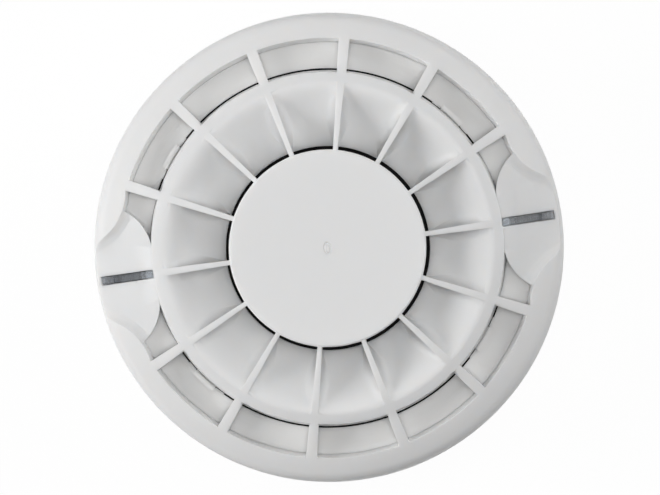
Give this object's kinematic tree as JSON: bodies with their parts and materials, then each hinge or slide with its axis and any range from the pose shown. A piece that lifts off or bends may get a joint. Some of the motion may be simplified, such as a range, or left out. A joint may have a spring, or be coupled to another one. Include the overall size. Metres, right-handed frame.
{
  "type": "heat detector",
  "caption": "Ceiling heat detector: domed white head with a flat cap held by radial fins over a funnelled air inlet, two light-pipe scoops, twist-locked on a round wiring base.",
  "frame": {"origin": "centre of the base's flat ceiling face, on the head's axis", "axes": "+Z out of the front face, away from the ceiling; +X along the line through the two light pipes and the two ceiling screw slots; +Y completes the right hand"},
  "size_m": [0.1, 0.1, 0.046],
  "materials": {
    "white_abs": "fine matte moulding grain",
    "clear_acrylic": "polished clear acrylic",
    "black_plastic": "matte black",
    "bead_epoxy": "glossy dipped epoxy",
    "board_laminate": "green solder mask",
    "led_lens": "satin",
    "chip_epoxy": "matte",
    "can_aluminium": "satin",
    "switch_blue": "matte",
    "dial_white": "matte",
    "plated_steel": "bright zinc plating",
    "contact_brass": "satin"
  },
  "bodies": {
    "base": {"base_moulding": "white_abs", "contact_leaves": "contact_brass", "clamp_washers": "plated_steel", "terminal_screws": "plated_steel"},
    "head": {"front_cover": "white_abs", "inner_frame": "white_abs", "light_pipe_right": "clear_acrylic", "light_pipe_left": "clear_acrylic", "chamber_tray": "black_plastic", "sensor_mast": "black_plastic", "thermistor": "bead_epoxy", "circuit_board": "board_laminate", "status_leds": "led_lens", "controller_chip": "chip_epoxy", "surge_capacitors": "can_aluminium", "chip_resistors": "chip_epoxy", "tens_switch": "switch_blue", "units_switch": "switch_blue", "rear_housing": "white_abs", "cover_screws": "plated_steel", "contact_feet": "contact_brass", "contact_rivets": "plated_steel"},
    "tens_dial": {"tens_dial": "dial_white"},
    "units_dial": {"units_dial": "dial_white"}
  },
  "joints": [
    {"name": "head_twist", "type": "hinge", "parent": "base", "child": "head", "pos_m": [0, 0, 0.0136], "axis": [0, 0, 1], "range_deg": [0, 16]},
    {"name": "tens_turn", "type": "hinge", "parent": "head", "child": "tens_dial", "pos_m": [-0.011, 0, 0.016], "axis": [0, 0, 1], "continuous": true},
    {"name": "units_turn", "type": "hinge", "parent": "head", "child": "units_dial", "pos_m": [0.011, 0, 0.016], "axis": [0, 0, 1], "continuous": true}
  ]
}
